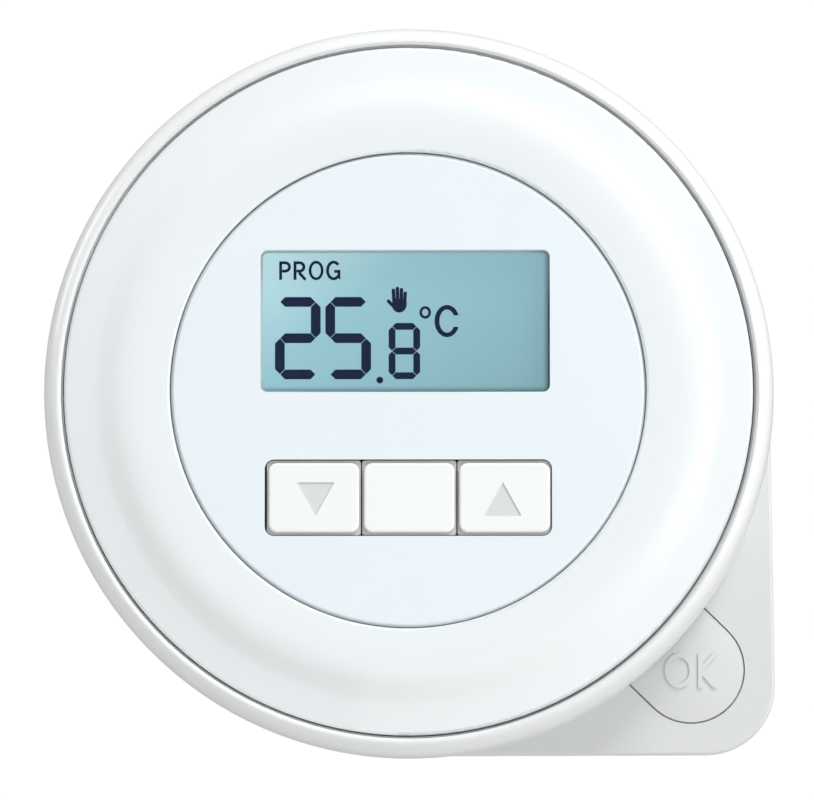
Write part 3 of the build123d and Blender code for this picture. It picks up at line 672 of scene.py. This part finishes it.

# Dark sheet on the rear of the lens along the window's edge: painted shade, lighter at the upper left
# and darker at the lower right
BORDER_GAP, BORDER_THICK = 0.00002, 0.00004
painted_shade_look = painted_edge_shade("window_painted_shade_teal", (0.56, 0.64, 0.66), (0.04, 0.072, 0.08),
                            "display_lens")
mesh = bmesh.new()
add_band(mesh, rounded(window_x, window_mid, 34.6, 17.4, 1.0),
         rounded(window_x, window_mid, 33.50, 16.28, 0.62), lens_high.y + BORDER_GAP, BORDER_THICK)
finish_piece("window_painted_shade", mesh, "housing", painted_shade_look)

# Arrow inlays in the recesses of the two outer keys
inlay = moulded("arrow_inlay_grey_green", (0.665, 0.70, 0.685), 0.5, grain_strength=0.2, vary=0.01)
ARROW_W, ARROW_H, ARROW_DROP = 4.27, 3.83, 0.15
INLAY_DEPTH, INLAY_THICK = 0.00014, 0.00003
ARROWS = (("down_key", "down_button", -1, 0.24), ("up_key", "up_button", 1, -0.175))
for key, body, way, shift in ARROWS:
    low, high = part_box(key)
    x, z = (low.x + high.x) / 2 / MM + shift, (low.z + high.z) / 2 / MM - ARROW_DROP
    base = z - way * ARROW_H / 2
    mesh = bmesh.new()
    outline = [(x - ARROW_W / 2, base), (x + ARROW_W / 2, base), (x, z + way * ARROW_H / 2)]
    add_prism(mesh, outline, low.y + INLAY_DEPTH, INLAY_THICK)
    finish_piece(key.replace("key", "arrow"), mesh, body, inlay)

# ---------------------------------------------------------------------------------
# Studio: pale floor well below, soft surround brighter to the upper right, four soft lights
# ---------------------------------------------------------------------------------
FLOOR_Z = -0.60
WORLD_LEAN = (0.62, -0.52, 0.58)          # the surround is brightest this way
WORLD_RANGE = (0.335, 0.645)
FLOOR_REACH = 40.0
FLOOR_TONES = (0.77, 0.81)
mesh = bmesh.new()
bmesh.ops.create_grid(mesh, x_segments=2, y_segments=2, size=FLOOR_REACH)
floor_data = bpy.data.meshes.new("floor")
mesh.to_mesh(floor_data)
mesh.free()
floor = bpy.data.objects.new("floor", floor_data)
floor.location.z = FLOOR_Z
scene.collection.objects.link(floor)
t = Tree("floor_pale")
cloud = t.noise(0.3, 2.0)
tone = t.ramp(cloud, "Fac", *NOISE_RANGE, [rgba((grey,) * 3) for grey in FLOOR_TONES])
t.link(tone, "Color", t.shader, "Base Color")
t.set(Roughness=0.7)
floor_data.materials.append(t.material)

world = bpy.data.worlds.new("studio")
world.use_nodes = True
scene.world = world
wt = world.node_tree
wt.nodes.clear()
w_out = wt.nodes.new("ShaderNodeOutputWorld")
seen = wt.nodes.new("ShaderNodeBackground")
seen.inputs["Color"].default_value = (1, 1, 1, 1)
seen.inputs["Strength"].default_value = 1.02
lit = wt.nodes.new("ShaderNodeBackground")
lit.inputs["Color"].default_value = (0.985, 0.995, 1.0, 1)
way = wt.nodes.new("ShaderNodeTexCoord")
lean = wt.nodes.new("ShaderNodeVectorMath")
lean.operation = "DOT_PRODUCT"
lean.inputs[1].default_value = WORLD_LEAN
wt.links.new(way.outputs["Generated"], lean.inputs[0])
level = wt.nodes.new("ShaderNodeMapRange")
level.inputs["From Min"].default_value = -1
level.inputs["From Max"].default_value = 1
level.inputs["To Min"].default_value = WORLD_RANGE[0]
level.inputs["To Max"].default_value = WORLD_RANGE[1]
wt.links.new(lean.outputs["Value"], level.inputs["Value"])
wt.links.new(level.outputs["Result"], lit.inputs["Strength"])
rays = wt.nodes.new("ShaderNodeLightPath")
pick = wt.nodes.new("ShaderNodeMixShader")
wt.links.new(rays.outputs["Is Camera Ray"], pick.inputs["Fac"])
wt.links.new(lit.outputs["Background"], pick.inputs[1])
wt.links.new(seen.outputs["Background"], pick.inputs[2])
wt.links.new(pick.outputs["Shader"], w_out.inputs["Surface"])

LIGHT_AIM = Vector((0, -0.02, 0))


def soft_light(name, place, size, power):
    """Square area light aimed at the middle of the front."""
    data = bpy.data.lights.new(name, "AREA")
    data.shape = "RECTANGLE"
    data.size = data.size_y = size
    data.energy = power
    light = bpy.data.objects.new(name, data)
    light.location = place
    light.rotation_mode = "QUATERNION"
    aim = LIGHT_AIM - Vector(place)
    light.rotation_quaternion = aim.to_track_quat("-Z", "Y")
    scene.collection.objects.link(light)


def from_side(turn, tilt, distance):
    """Place seen from the front at turn degrees from +x towards +z, tilt degrees off the front axis."""
    u, v = math.radians(turn), math.radians(tilt)
    off = distance * math.sin(v)
    return (off * math.cos(u), -distance * math.cos(v), off * math.sin(u))


# name, turn and tilt in degrees, distance and size in metres, power in watts
LIGHTS = (("right_light", -10, 54, 1.0, 0.45, 2.1), ("top_light", 61, 60, 1.0, 0.32, 5.9),
          ("left_light", 155, 87, 1.0, 0.45, 3.0), ("low_light", -58, 32, 0.7, 0.55, 0.70))
for name, turn, tilt, distance, size, power in LIGHTS:
    soft_light(name, from_side(turn, tilt, distance), size, power)
